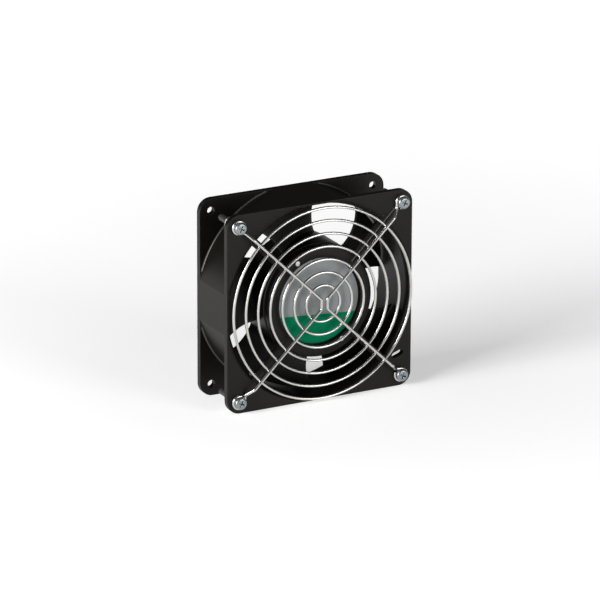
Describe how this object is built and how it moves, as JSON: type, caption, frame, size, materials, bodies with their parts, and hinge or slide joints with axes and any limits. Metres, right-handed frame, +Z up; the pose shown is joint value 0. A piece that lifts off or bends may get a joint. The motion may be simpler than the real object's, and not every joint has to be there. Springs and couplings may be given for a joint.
{
  "type": "fan assembly",
  "caption": "Compact axial fan: square flanged black housing with a central motor, wide-bladed impeller and a wire finger guard screwed on.",
  "frame": {"origin": "centre of the four rear corner holes, on the rear mounting face", "axes": "+Y out of the rear mounting face, away from the guard; +Z up; +X to the right seen from the guard side"},
  "size_m": [0.119, 0.0442, 0.119],
  "materials": {
    "black_casting": "matt black coat on a die casting",
    "tube_brass": "drawn",
    "sintered_bronze": "sintered, oiled",
    "felt": "felt",
    "core_steel": "stamped laminations",
    "bobbin_nylon": "moulded",
    "enamelled_copper": "enamelled wire",
    "label_foil": "printed foil, silver above and green below, left bare",
    "bright_steel": "zinc plated",
    "lead_sleeve": "light grey sleeve",
    "guard_wire": "bright plated wire",
    "zinc_blue": "blue zinc plated",
    "spring_steel": "plain",
    "black_plastic": "moulded",
    "pressed_steel": "pressed",
    "cage_steel": "laminated, cast bars",
    "ground_steel": "ground",
    "washer_nylon": "punched"
  },
  "bodies": {
    "frame": {"housing": "black_casting", "bearing_tube": "tube_brass", "bearing_front": "sintered_bronze", "bearing_rear": "sintered_bronze", "oil_felt": "felt", "stator_core": "core_steel", "coil_bobbins": "bobbin_nylon", "stator_coils": "enamelled_copper", "hub_label": "label_foil", "hub_screws": "bright_steel", "motor_lead": "lead_sleeve", "guard_rings": "guard_wire", "guard_spoke_left": "guard_wire", "guard_spoke_right": "guard_wire", "guard_screws": "zinc_blue", "guard_washers": "bright_steel", "spring_washers": "spring_steel", "guard_nuts": "bright_steel"},
    "rotor": {"impeller": "black_plastic", "rotor_cup": "pressed_steel", "rotor_cage": "cage_steel", "rotor_boss": "bright_steel", "shaft": "ground_steel", "retaining_clip": "spring_steel", "thrust_washers": "washer_nylon"}
  },
  "joints": [
    {"name": "rotor_spin", "type": "hinge", "parent": "frame", "child": "rotor", "pos_m": [0, -0.019, 0], "axis": [0, 1, 0], "continuous": true}
  ]
}
